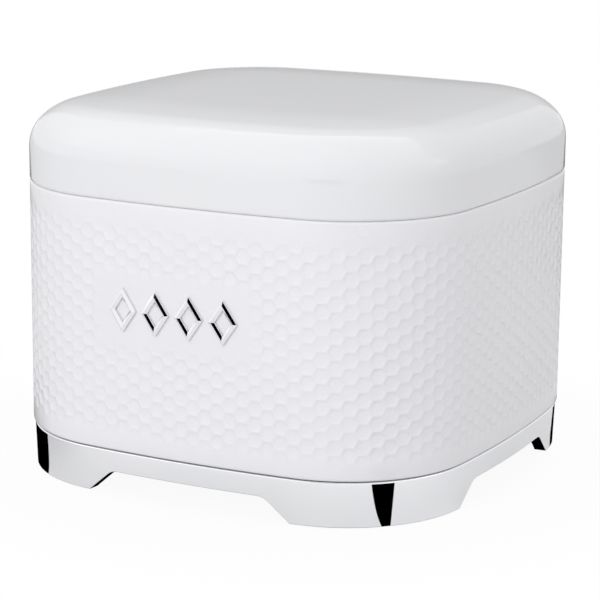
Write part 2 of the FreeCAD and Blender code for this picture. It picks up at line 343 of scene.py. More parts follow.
@dataclass(frozen=True)
class Enamel(Finish):
    """Baked enamel, sprayed on pressed steel: a hard white gloss with a faint orange peel."""

    roughness: float
    peel_mm: float = 1.6
    peel_depth_mm: float = 0.004
    cloud_mm: float = 70.0
    ior: float = 1.52
    drift: float = 0.25

    def material(self) -> bpy.types.Material:
        """Build the material.

        Returns:
            The finish, for any number of pieces.
        """
        made, tree, place = self.start()
        # Sprayed coats vary a little in thickness, which the eye reads as faint warm and cool clouds.
        # Gloss drifts with them, so that long reflections are not perfectly even.
        cloud = add_node(tree, "ShaderNodeTexNoise", None,
                         {"Vector": place, "Scale": 1000 / self.cloud_mm, "Detail": 2.0})
        # Orange peel about a millimetre and a half across, far shallower than the eye can see as shape.
        peel = add_node(tree, "ShaderNodeTexNoise", None,
                        {"Vector": place, "Scale": 1000 / self.peel_mm, "Detail": 1.0})
        rough = self.roughness * (1 - self.drift), self.roughness * (1 + self.drift)
        shader = self.lay(tree, (cloud, cloud, peel), rough, self.peel_depth_mm)
        shader.inputs["IOR"].default_value = self.ior
        return made


@dataclass(frozen=True)
class Chrome(Finish):
    """Bright chrome, plated on polished moulded ABS: a mirror with the moulding's slow ripple in it."""

    colour: str = "#F4F4F6"
    shade: str = "#EDEEF1"
    roughness: float = 0.035
    ripple_mm: float = 45.0
    ripple_depth_mm: float = 0.012
    haze_mm: float = 6.25
    drift: float = 0.4

    def material(self) -> bpy.types.Material:
        """Build the material.

        Returns:
            The finish, for any number of pieces.
        """
        made, tree, place = self.start()
        ripple = add_node(tree, "ShaderNodeTexNoise", None,
                          {"Vector": place, "Scale": 1000 / self.ripple_mm, "Detail": 0.0})
        # Handling leaves a very faint haze in patches a few millimetres wide.
        haze = add_node(tree, "ShaderNodeTexNoise", None,
                        {"Vector": place, "Scale": 1000 / self.haze_mm, "Detail": 3.0})
        rough = self.roughness * (1 - self.drift), self.roughness * (1 + self.drift)
        shader = self.lay(tree, (ripple, haze, ripple), rough, self.ripple_depth_mm)
        shader.inputs["Metallic"].default_value = 1.0
        return made


@dataclass(frozen=True)
class Moulded(Finish):
    """A soft or plated small part: a grain of a real size and its own gloss."""

    grain_mm: float
    depth_mm: float
    rough_low: float
    rough_high: float
    metallic: float = 0.0
    scatter: float = 0.0
    scatter_mm: float = 2.0

    def material(self) -> bpy.types.Material:
        """Build the material.

        Returns:
            The finish, for any number of pieces.
        """
        made, tree, place = self.start()
        grain = add_node(tree, "ShaderNodeTexNoise", None,
                         {"Vector": place, "Scale": 1000 / self.grain_mm, "Detail": 3.0})
        rough = self.rough_low, self.rough_high
        shader = self.lay(tree, (grain, grain, grain), rough, self.depth_mm)
        shader.inputs["Metallic"].default_value = self.metallic
        shader.inputs["Subsurface Weight"].default_value = self.scatter
        shader.inputs["Subsurface Scale"].default_value = self.scatter_mm * MM
        return made


@dataclass(frozen=True)
class Levels:
    """Heights, sheet thickness and the middle of the ornaments' row, which the sub-assemblies share."""

    foot: float = 0.6
    body: float = 25.6
    # The hem stands a little above the plinth, which leaves a dark seam between them.
    hem: float = 26.02
    ledge: float = 164.6
    top: float = 209.9
    sheet: float = 0.8
    row_aside: float = -6.2
    row_up: float = 106.0


LEVELS = Levels()


@dataclass
class Lid:
    """The cap: a pressed shell with a curled lower edge, and the silicone ring inside it."""

    curl_r: float = 2.0
    curl_flat: float = 1.2
    low_r: float = 21.5
    top_r: float = 33.5
    split: float = 45.0
    crown_slope: float = 4.4
    roll_parts: int = 12
    crown_parts: int = 8
    core_in: float = 70.0
    seal_h: float = 8.5
    seal_foot: float = 0.7
    seal_gap: float = 0.3
    lip_gap: float = 0.35
    lip_root: float = 2.0
    neck_gap: float = 0.8

    @property
    def flange(self) -> float:
        """How far the lower edge reaches in."""
        return self.curl_r + self.curl_flat

    def crown(self, start: tuple[float, float]) -> Profile:
        """Shallow crown from the roll to the level middle, flattening out as it goes.

        Args:
            start: the end of the roll.

        Returns:
            The points after the start.
        """
        run = self.core_in + start[0]
        rise = run * math.tan(math.radians(self.crown_slope)) / 2
        shares = [k / self.crown_parts for k in range(1, self.crown_parts + 1)]
        return [(start[0] - run * t, start[1] + rise * (2 * t - t * t)) for t in shares]

    def face(self, shift: float) -> Profile:
        """One face of the pressed sheet.

        Args:
            shift: 0 for the outside, the sheet's thickness for the inside.

        Returns:
            The points from the lower edge to the middle.
        """
        slope = math.radians(self.crown_slope)
        split = math.radians(self.split)
        roll_in = self.low_r * (1 - math.cos(split)) + self.top_r * (math.cos(split) - math.sin(slope))
        roll_up = self.low_r * math.sin(split) + self.top_r * (math.cos(slope) - math.sin(split))
        rise = (self.core_in - roll_in) * math.tan(slope) / 2
        skirt = LEVELS.top - LEVELS.ledge - self.curl_r - roll_up - rise
        steps = [self.curl_flat, (self.curl_r, 90.0), skirt, (self.low_r, self.split),
                 (self.top_r, 90 - self.split - self.crown_slope)]
        points = trace((-self.flange, LEVELS.ledge), 0.0, steps, shift, self.roll_parts)
        return points + self.crown(points[-1])

    def shell(self, finish: Enamel) -> None:
        """Build the pressed shell with both faces of its sheet.

        Args:
            finish: the enamel.
        """
        bm = bmesh.new()
        PLAN.sweep(bm, self.face(0.0)[::-1] + self.face(LEVELS.sheet))
        fill_rims(bm)
        make_piece(bm, "lid_cap", Ride.LID, finish.material(), ("lid_shell",))

    def seal(self, finish: Moulded) -> None:
        """Build the ring with its two wiping lips.

        Args:
            finish: the silicone.
        """
        outside = -LEVELS.sheet - self.seal_gap
        inside = -self.curl_r - self.seal_foot
        lip = -self.flange - self.neck_gap + self.lip_gap
        base = LEVELS.ledge + LEVELS.sheet
        top = base + self.seal_h
        ring = [(-self.curl_r, base), (outside, LEVELS.ledge + self.curl_r), (outside, top), (inside, top)]
        for z in (top - self.seal_h / 4, base + self.seal_h / 4):
            ring += [(inside, z + self.lip_root / 2), (lip, z), (inside, z - self.lip_root / 2)]
        ring.append((inside, base))
        bm = bmesh.new()
        PLAN.sweep(bm, ring, closed=True)
        bmesh.ops.recalc_face_normals(bm, faces=bm.faces[:])
        make_piece(bm, "lid_seal_ring", Ride.LID, finish.material(), ("lid_seal",), sharp=30.0)


@dataclass
class Body:
    """The embossed wall with its hem and neck, and the tray that closes it."""

    columns: int = 126
    block: int = 7
    row_phase: float = -0.25
    # A dent is pressed in steps: the width of each, and its share of the depth.
    dent_steps: tuple[tuple[float, float], ...] = ((0.35, 0.07), (0.85, 0.75), (0.5, 0.18))
    dent: float = 0.64
    dent_spread: float = 0.2
    dent_lean: float = 0.022
    seed: int = 11
    rows_low: float = 34.5
    rows_high: float = 154.5
    fade: float = 7.0
    patch_half: tuple[float, float] = (45.0, 17.5)
    weld: float = 0.05
    trim_snap: float = 0.01
    longest_edge: float = 6.0
    fold_parts: int = 3
    hem_r: float = 2.0
    hem_flange: float = 12.0
    shoulder_r: float = 1.5
    step_r: float = 0.6
    neck_in: float = 4.0
    neck_top: float = 182.62
    rim_r: float = 1.6
    neck_lip: float = 1.5
    tray_gap: float = 0.35
    tray_rim: float = 9.0
    tray_r: float = 3.2
    core_in: float = 70.0

    @property
    def pitch(self) -> float:
        """Distance between columns of cells."""
        return PLAN.length / self.columns

    @property
    def side(self) -> float:
        """Side of a cell."""
        return self.pitch / 1.5

    @property
    def row(self) -> float:
        """Distance between cells in one column."""
        return self.side * math.sqrt(3)

    def strength(self, along: float, up: float) -> float:
        """How deep a cell is pressed: full on the open wall, nothing near the edges and the ornaments.

        Args:
            along: the cell's place along the outline.
            up: the cell's height.

        Returns:
            A share from 0 to 1.
        """
        # The front is the last of the four sides; its middle is half a side past three quarters of the way.
        front = 0.75 * PLAN.length + PLAN.side_r * PLAN.half_side
        shift = (along - front + PLAN.length / 2) % PLAN.length - PLAN.length / 2
        aside = max(abs(shift - LEVELS.row_aside) - self.patch_half[0], 0.0)
        above = max(abs(up - LEVELS.row_up) - self.patch_half[1], 0.0)
        room = min(up - self.rows_low, self.rows_high - up, math.hypot(aside, above))
        share = min(max(room / self.fade, 0.0), 1.0)
        return share * share * (3 - 2 * share)

    def repeat(self, bm: bmesh.types.BMesh, count: int, along: float, up: float) -> None:
        """Lay copies of the whole sheet beside it.

        Args:
            bm: the flat sheet.
            count: how many there are afterwards.
            along: step along the outline.
            up: step upwards.
        """
        block = bm.verts[:] + bm.edges[:] + bm.faces[:]
        for number in range(1, count):
            copy = bmesh.ops.duplicate(bm, geom=block)["geom"]
            verts = [item for item in copy if isinstance(item, bmesh.types.BMVert)]
            bmesh.ops.translate(bm, vec=(along * number, up * number, 0), verts=verts)

    def pattern(self, bm: bmesh.types.BMesh) -> None:
        """Lay the cells out flat, press a dent into each, and trim the sheet to its height.

        Args:
            bm: the mesh that gets the sheet, along X and up Y, in millimetres.
        """
        first = int(self.rows_low // self.row)
        rows = int(self.rows_high // self.row) + 2 - first
        bmesh.ops.create_circle(bm, cap_ends=True, segments=6, radius=self.side,
                                matrix=Matrix.Rotation(math.pi / 2, 4, "Z"))
        bmesh.ops.translate(bm, vec=(0, (first + self.row_phase) * self.row, 0), verts=bm.verts[:])
        self.repeat(bm, rows, 0.0, self.row)
        self.repeat(bm, 2, self.pitch, self.row / 2)
        self.repeat(bm, self.block, 2 * self.pitch, 0.0)
        self.repeat(bm, self.columns // (2 * self.block), 2 * self.block * self.pitch, 0.0)
        bmesh.ops.remove_doubles(bm, verts=bm.verts[:], dist=self.weld)
        bmesh.ops.recalc_face_normals(bm, faces=bm.faces[:])
        bm.normal_update()
        cells = [f for f in bm.faces if self.strength(*f.calc_center_median().xy) > 0]
        facing = math.copysign(1.0, bm.faces[0].normal.z)
        for width, depth in self.dent_steps:
            bmesh.ops.inset_individual(bm, faces=cells, thickness=width,
                                       depth=-facing * depth * self.dent, use_even_offset=True)
        for vert in bm.verts:
            vert.co.z = -abs(vert.co.z)
        self.unsettle(cells)
        for vert in bm.verts:
            vert.co.z *= self.strength(vert.co.x, vert.co.y)
        for height, sign in ((self.rows_low, -1), (self.rows_high, 1)):
            bmesh.ops.bisect_plane(bm, geom=bm.verts[:] + bm.edges[:] + bm.faces[:], dist=self.trim_snap,
                                   plane_co=(0, height, 0), plane_no=(0, sign, 0), clear_outer=True)

    def unsettle(self, cells: list[bmesh.types.BMFace]) -> None:
        """Vary the floors of the dents a little in depth and lean, as a worn embossing roller does.

        Args:
            cells: the dents' floors.
        """
        draw = random.Random(self.seed)
        for cell in cells:
            centre = cell.calc_center_median()
            depth = 1 + draw.uniform(-self.dent_spread, self.dent_spread)
            lean = Vector((draw.uniform(-1, 1), draw.uniform(-1, 1), 0)) * self.dent_lean
            rim = set(cell.edges)
            for vert in cell.verts:
                spokes = [e.other_vert(vert) for e in vert.link_edges if e not in rim]
                for point in (vert, *spokes):
                    point.co.z = point.co.z * depth + lean.dot(point.co - centre)

    def trimmed(self, bm: bmesh.types.BMesh, height: float) -> list[bmesh.types.BMEdge]:
        """Find the edges along which the sheet was trimmed.

        Args:
            bm: the flat sheet.
            height: where it was trimmed.

        Returns:
            The open edges at that height.
        """
        near = 2 * self.trim_snap
        return [e for e in bm.edges if e.is_boundary and all(abs(v.co.y - height) < near for v in e.verts)]

    def fold(self, bm: bmesh.types.BMesh, height: float, run: Profile) -> None:
        """Draw the sheet on from a trimmed edge along a profile.

        Args:
            bm: the flat sheet.
            height: where its edge is.
            run: the points after the edge, as (outwards, up).
        """
        long = [e for e in self.trimmed(bm, height) if e.calc_length() > self.longest_edge]
        bmesh.ops.subdivide_edges(bm, edges=long, cuts=1)
        edges = self.trimmed(bm, height)
        for out, up in run:
            drawn = bmesh.ops.extrude_edge_only(bm, edges=edges)["geom"]
            verts = {item for item in drawn if isinstance(item, bmesh.types.BMVert)}
            edges = [e for e in drawn if isinstance(e, bmesh.types.BMEdge) and set(e.verts) <= verts]
            for vert in verts:
                vert.co.y = up
                vert.co.z = out

    def wall(self, finish: Enamel) -> None:
        """Build the embossed wall, folded in at the hem and up to the neck, and give it its thickness.

        Args:
            finish: the enamel.
        """
        bm = bmesh.new()
        self.pattern(bm)
        plain_low = self.rows_low - LEVELS.hem - self.hem_r
        low = trace((0.0, self.rows_low), -90.0, [
            plain_low, (self.hem_r, -90.0), self.hem_flange - self.hem_r], arc_parts=self.fold_parts)
        plain_high = LEVELS.ledge - self.shoulder_r - self.rows_high
        neck = self.neck_top - LEVELS.ledge - self.step_r - self.rim_r
        high = trace((0.0, self.rows_high), 90.0, [
            plain_high, (self.shoulder_r, 90.0), self.neck_in - self.shoulder_r - self.step_r,
            (self.step_r, -90.0), neck, (self.rim_r, 90.0), self.neck_lip], arc_parts=self.fold_parts)
        self.fold(bm, self.rows_low, low[1:])
        self.fold(bm, self.rows_high, high[1:])
        for vert in bm.verts:
            vert.co = PLAN.place(vert.co.x, vert.co.z, vert.co.y)
        bmesh.ops.remove_doubles(bm, verts=bm.verts[:], dist=2 * self.trim_snap * MM)
        bmesh.ops.recalc_face_normals(bm, faces=bm.faces[:])
        piece = make_piece(bm, "embossed_wall", Ride.TIN, finish.material(), ("body_wall",),
                           sharp=75.0)
        sheet = piece.modifiers.new("sheet", "SOLIDIFY")
        sheet.thickness = LEVELS.sheet * MM
        sheet.offset = -1.0

    def tray(self, finish: Enamel) -> None:
        """Build the floor tray with its upturned rim.

        Args:
            finish: the enamel.
        """
        rim = LEVELS.sheet + self.tray_gap
        start = (-rim, LEVELS.hem + LEVELS.sheet + self.tray_rim)
        steps = [self.tray_rim - self.tray_r, (self.tray_r, -90.0), self.core_in - rim - self.tray_r]
        bm = bmesh.new()
        PLAN.sweep(bm, trace(start, -90.0, steps)[::-1] + trace(start, -90.0, steps, -LEVELS.sheet))
        fill_rims(bm)
        make_piece(bm, "floor_tray", Ride.TIN, finish.material(), ("body_floor",))


@dataclass
class Base:
    """The chrome plinth with its arches, lugs and rubber pads, and the studs and nuts that hold it."""

    set_in: float = 1.0
    lean: float = 0.9
    height: float = 25.0
    width: float = 8.0
    wall: float = 2.5
    edge_r: float = 1.0
    foot_r: float = 0.6
    arch_h: float = 13.0
    arch_run: float = 15.5
    arch_r: float = 10.0
    foot_half: float = 62.5
    flat_stops: tuple[float, ...] = (0.0, 7.5, 15.0, 22.5, 30.0, 37.0)
    slope_stops: tuple[float, ...] = (54.0, 58.0)
    turn_parts: int = 6
    low_edge: float = 10.0
    stud_out: float = 117.0
    lug_r: float = 6.95
    pad_edge: float = 1.6
    pad_gap: float = 0.3
    pad_end: float = 13.0
    pad_roof: float = 1.0
    pad_soften: float = 0.25
    pad_parts: int = 24
    lug_parts: int = 32

    @property
    def slope(self) -> float:
        """Slope of an arch's ends."""
        return math.atan2(self.arch_h, self.arch_run)

    @property
    def flat_end(self) -> float:
        """Distance from the middle of a side at which an arch's flat roof starts to turn down."""
        return self.foot_half - self.arch_run - self.arch_r * math.tan(self.slope / 2)

    @property
    def round_end(self) -> float:
        """Distance from the middle of a side at which the turn runs into the slope."""
        return self.flat_end + self.arch_r * math.sin(self.slope)

    def arch(self, aside: float) -> float:
        """Height of the arch above the foot.

        Args:
            aside: distance from the middle of the side.

        Returns:
            The lift of the plinth's lower edge there.
        """
        if aside >= self.foot_half:
            return 0.0
        if aside >= self.round_end:
            return (self.foot_half - aside) * math.tan(self.slope)
        if aside > self.flat_end:
            return self.arch_h - self.arch_r + math.sqrt(self.arch_r ** 2 - (aside - self.flat_end) ** 2)
        return self.arch_h

    def stops(self) -> list[float]:
        """Choose where columns stand along a side, so that they follow the arch.

        Returns:
            Shares of the side's arc.
        """
        run = self.round_end - self.flat_end
        turn = [self.flat_end + run * k / self.turn_parts for k in range(self.turn_parts + 1)]
        half = [*self.flat_stops, *turn, *self.slope_stops, self.foot_half]
        angles = [math.asin(x / PLAN.side_r) for x in half]
        both = [-a for a in reversed(angles[1:])] + angles
        return [(a + PLAN.half_side) / (2 * PLAN.half_side) for a in both]

    def plinth(self, finish: Chrome) -> None:
        """Build the ring, open to the inside, and lift its lower edge over each arch.

        Args:
            finish: the chrome.
        """
        lean = math.degrees(math.atan2(self.lean, self.height))
        foot_tangent = self.foot_r * math.tan(math.radians(90 - lean) / 2)
        edge_tangent = self.edge_r * math.tan(math.radians(90 + lean) / 2)
        inside = -self.set_in - self.width
        outer = trace((inside, LEVELS.foot), 0.0, [
            self.width - self.lean - foot_tangent, (self.foot_r, 90 - lean),
            math.hypot(self.lean, self.height) - foot_tangent - edge_tangent,
            (self.edge_r, 90 + lean), self.width - edge_tangent])
        core = -self.set_in - self.lean - self.wall
        low = LEVELS.foot + self.wall
        top = LEVELS.body - self.wall
        ring = outer + [(inside, top), (core, top), (core, low), (inside, low)]
        bm = bmesh.new()
        PLAN.sweep(bm, ring, closed=True, side_stops=self.stops())
        for vert in bm.verts:
            flat = sorted((abs(vert.co.x), abs(vert.co.y)))
            if vert.co.z < self.low_edge * MM:
                reach = math.hypot(flat[0], flat[1] + PLAN.bow * MM)
                lift = self.arch(flat[0] / reach * PLAN.side_r) * MM
                out = Vector((vert.co.x, vert.co.y, 0)).normalized() * lift * self.lean / self.height
                vert.co += out + Vector((0, 0, lift))
        self.lugs(bm)
        bmesh.ops.recalc_face_normals(bm, faces=bm.faces[:])
        make_piece(bm, "plinth_ring", Ride.TIN, finish.material(), ("plinth",), sharp=30.0)

    def lugs(self, bm: bmesh.types.BMesh) -> None:
        """Add the four tongues that the studs pass through.

        Args:
            bm: the plinth's mesh.
        """
        root = PLAN.half - self.set_in - self.width / 2
        for quarter in range(4):
            turn = Matrix.Rotation(quarter * math.pi / 2, 4, "Z")
            place = turn @ Matrix.Translation(Vector((0, -self.stud_out, LEVELS.body)) * MM)
            rim = bmesh.ops.create_circle(bm, cap_ends=True, segments=self.lug_parts,
                                          radius=self.lug_r * MM, matrix=place)
            for vert in rim["verts"]:
                local = turn.inverted() @ vert.co
                if local.y < -(self.stud_out + PLAN.weld) * MM:
                    vert.co = turn @ Vector((math.copysign(self.lug_r * MM, local.x), -root * MM, local.z))
            bmesh.ops.remove_doubles(bm, verts=rim["verts"], dist=PLAN.weld * MM)
            faces = {face for vert in rim["verts"] if vert.is_valid for face in vert.link_faces}
            thick = bmesh.ops.extrude_face_region(bm, geom=list(faces), use_keep_orig=True)["geom"]
            verts = [item for item in thick if isinstance(item, bmesh.types.BMVert)]
            bmesh.ops.translate(bm, vec=(0, 0, -self.wall * MM), verts=verts)

    def pads(self, finish: Moulded) -> None:
        """Build the rubber pads, let into the feet round the corners.

        Args:
            finish: the rubber.
        """
        outer = PLAN.corner_r - self.set_in - self.lean - self.pad_edge - self.pad_gap
        inner = PLAN.corner_r - self.set_in - self.width + self.pad_edge + self.pad_gap
        first = math.asin((self.foot_half + self.pad_end - PLAN.corner) / outer)
        top = LEVELS.foot + self.wall - self.pad_roof
        names = ("back_right", "back_left", "front_left", "front_right")
        rubber = finish.material()
        size = Matrix.Diagonal(((outer - inner) * MM, top * MM, 1, 1))
        middle = Matrix.Translation(((outer + inner) / 2 * MM, 0, top / 2 * MM))
        section = middle @ Matrix.Rotation(math.pi / 2, 4, "X") @ size
        corner = Matrix.Translation(Vector((PLAN.corner, PLAN.corner, 0)) * MM)
        for quarter, name in enumerate(names):
            bm = bmesh.new()
            bmesh.ops.create_grid(bm, x_segments=1, y_segments=1, size=0.5)
            bmesh.ops.transform(bm, matrix=Matrix.Rotation(first, 4, "Z") @ section, verts=bm.verts[:])
            bmesh.ops.spin(bm, geom=bm.verts[:] + bm.edges[:] + bm.faces[:], cent=(0, 0, 0), axis=(0, 0, 1),
                           angle=math.pi / 2 - 2 * first, steps=self.pad_parts, use_merge=False)
            bmesh.ops.recalc_face_normals(bm, faces=bm.faces[:])
            crisp = [e for e in bm.edges if len(e.link_faces) == 2 and e.calc_face_angle() > 1.0]
            bmesh.ops.bevel(bm, geom=crisp, offset=self.pad_soften * MM, segments=2, profile=0.5,
                            affect="EDGES", material=-1)
            place = Matrix.Rotation(quarter * math.pi / 2, 4, "Z") @ corner
            bmesh.ops.transform(bm, matrix=place, verts=bm.verts[:])
            make_piece(bm, "rubber_pad_" + name, Ride.TIN, rubber, ("foot_pad_" + name,),
                       sharp=50.0)

    def fixings(self, finish: Moulded) -> None:
        """Dress the studs and nuts.

        Args:
            finish: the zinc plate.
        """
        zinc = finish.material()
        dress_node("floor_studs", zinc)
        dress_node("plinth_nuts", zinc)


@dataclass
class Ornaments:
    """The row of open lozenges on the front, each on its adhesive pad."""

    count: int = 4
    high: float = 24.5
    wide: float = 17.0
    bar: float = 3.0
    edge: float = 0.9
    ridge: float = 1.1
    space: float = 3.6
    stand_off: float = 0.45
    soften: float = 0.1

    def place(self, index: int) -> Matrix:
        """Where a lozenge stands on the bowed front.

        Args:
            index: its number in the row, from 0.

        Returns:
            The matrix from its own frame, lying flat, to the wall.
        """
        along = LEVELS.row_aside + (index - (self.count - 1) / 2) * (self.wide + self.space)
        centre = Matrix.Translation(Vector((0, PLAN.bow, 0)) * MM)
        turn = centre @ Matrix.Rotation(along / PLAN.side_r, 4, "Z") @ centre.inverted()
        stand = Matrix.Translation(Vector((0, -PLAN.half - self.stand_off, LEVELS.row_up)) * MM)
        return turn @ stand @ Matrix.Rotation(math.pi / 2, 4, "X")

    def level_faces(self, bm: bmesh.types.BMesh) -> list[bmesh.types.BMFace]:
        """Find the lozenge's flat faces.

        Args:
            bm: the lozenge, lying flat.

        Returns:
            The faces, from the back to the front.
        """
        level = [f for f in bm.faces if abs(f.normal.z) > 0.99]
        return sorted(level, key=lambda f: f.calc_center_median().z)

    def lozenge(self, index: int, chrome: bpy.types.Material) -> None:
        """Build one lozenge: four roofed bars with softened edges.

        Args:
            index: its number in the row, from 0.
            chrome: the finish.
        """
        bm = bmesh.new()
        bmesh.ops.create_circle(bm, cap_ends=True, segments=4, radius=1.0)
        bmesh.ops.scale(bm, vec=(self.wide / 2 * MM, self.high / 2 * MM, 1), verts=bm.verts[:])
        raised = bmesh.ops.extrude_face_region(bm, geom=bm.faces[:], use_keep_orig=True)["geom"]
        verts = [item for item in raised if isinstance(item, bmesh.types.BMVert)]
        bmesh.ops.translate(bm, vec=(0, 0, self.edge * MM), verts=verts)
        bmesh.ops.recalc_face_normals(bm, faces=bm.faces[:])
        for rise in (self.ridge, -self.ridge):
            bmesh.ops.inset_individual(bm, faces=self.level_faces(bm)[-1:], thickness=self.bar / 2 * MM,
                                       depth=rise * MM, use_even_offset=True)
            bm.normal_update()
        under, *_, top = self.level_faces(bm)
        rim = top.edges[:]
        bmesh.ops.inset_individual(bm, faces=[under], thickness=self.bar * MM, use_even_offset=True)
        hole = under.edges[:]
        bmesh.ops.delete(bm, geom=[top, under], context="FACES_ONLY")
        bmesh.ops.bridge_loops(bm, edges=rim + hole)
        bmesh.ops.recalc_face_normals(bm, faces=bm.faces[:])
        bmesh.ops.bevel(bm, geom=bm.edges[:], offset=self.soften * MM, segments=2, profile=0.5,
                        affect="EDGES", material=-1)
        bmesh.ops.transform(bm, matrix=self.place(index), verts=bm.verts[:])
        name = "lozenge_" + str(index + 1)
        make_piece(bm, "chrome_" + name, Ride.TIN, chrome, (name,), sharp=8.0)

    def row(self, finish: Chrome, tape: Moulded) -> None:
        """Build the row and dress the pads behind it.

        Args:
            finish: the chrome.
            tape: the foam of the pads.
        """
        chrome = finish.material()
        for index in range(self.count):
            self.lozenge(index, chrome)
        dress_node("lozenge_tapes", tape.material())


@dataclass(frozen=True)
class Softbox:
    """A square soft lamp: where it hangs, its size in metres and its power in watts."""

    name: str
    azimuth: float
    elevation: float
    far: float
    size: float
    power: float


@dataclass(frozen=True)
class Board:
    """A glowing board that only mirrors see, a painted reflection that lights nothing: where it hangs, its
    size in metres, its brightness below and above.
    """

    name: str
    azimuth: float
    elevation: float
    far: float
    wide: float
    high: float
    low_level: float
    high_level: float


@dataclass(frozen=True)
class PaintedMirrorShade:
    """Painted shade that only mirrors see: a direction along which the floor's white glow fades towards the
    bare lit paper, where the fade starts and ends, and the share of glow that is left.
    """

    way: tuple[float, float, float]
    start: float
    end: float
    level: float


@dataclass(frozen=True)
class Halo:
    """The floor round the tin: where it starts and stops growing white, and its white share inside."""

    start: float
    end: float
    share: float


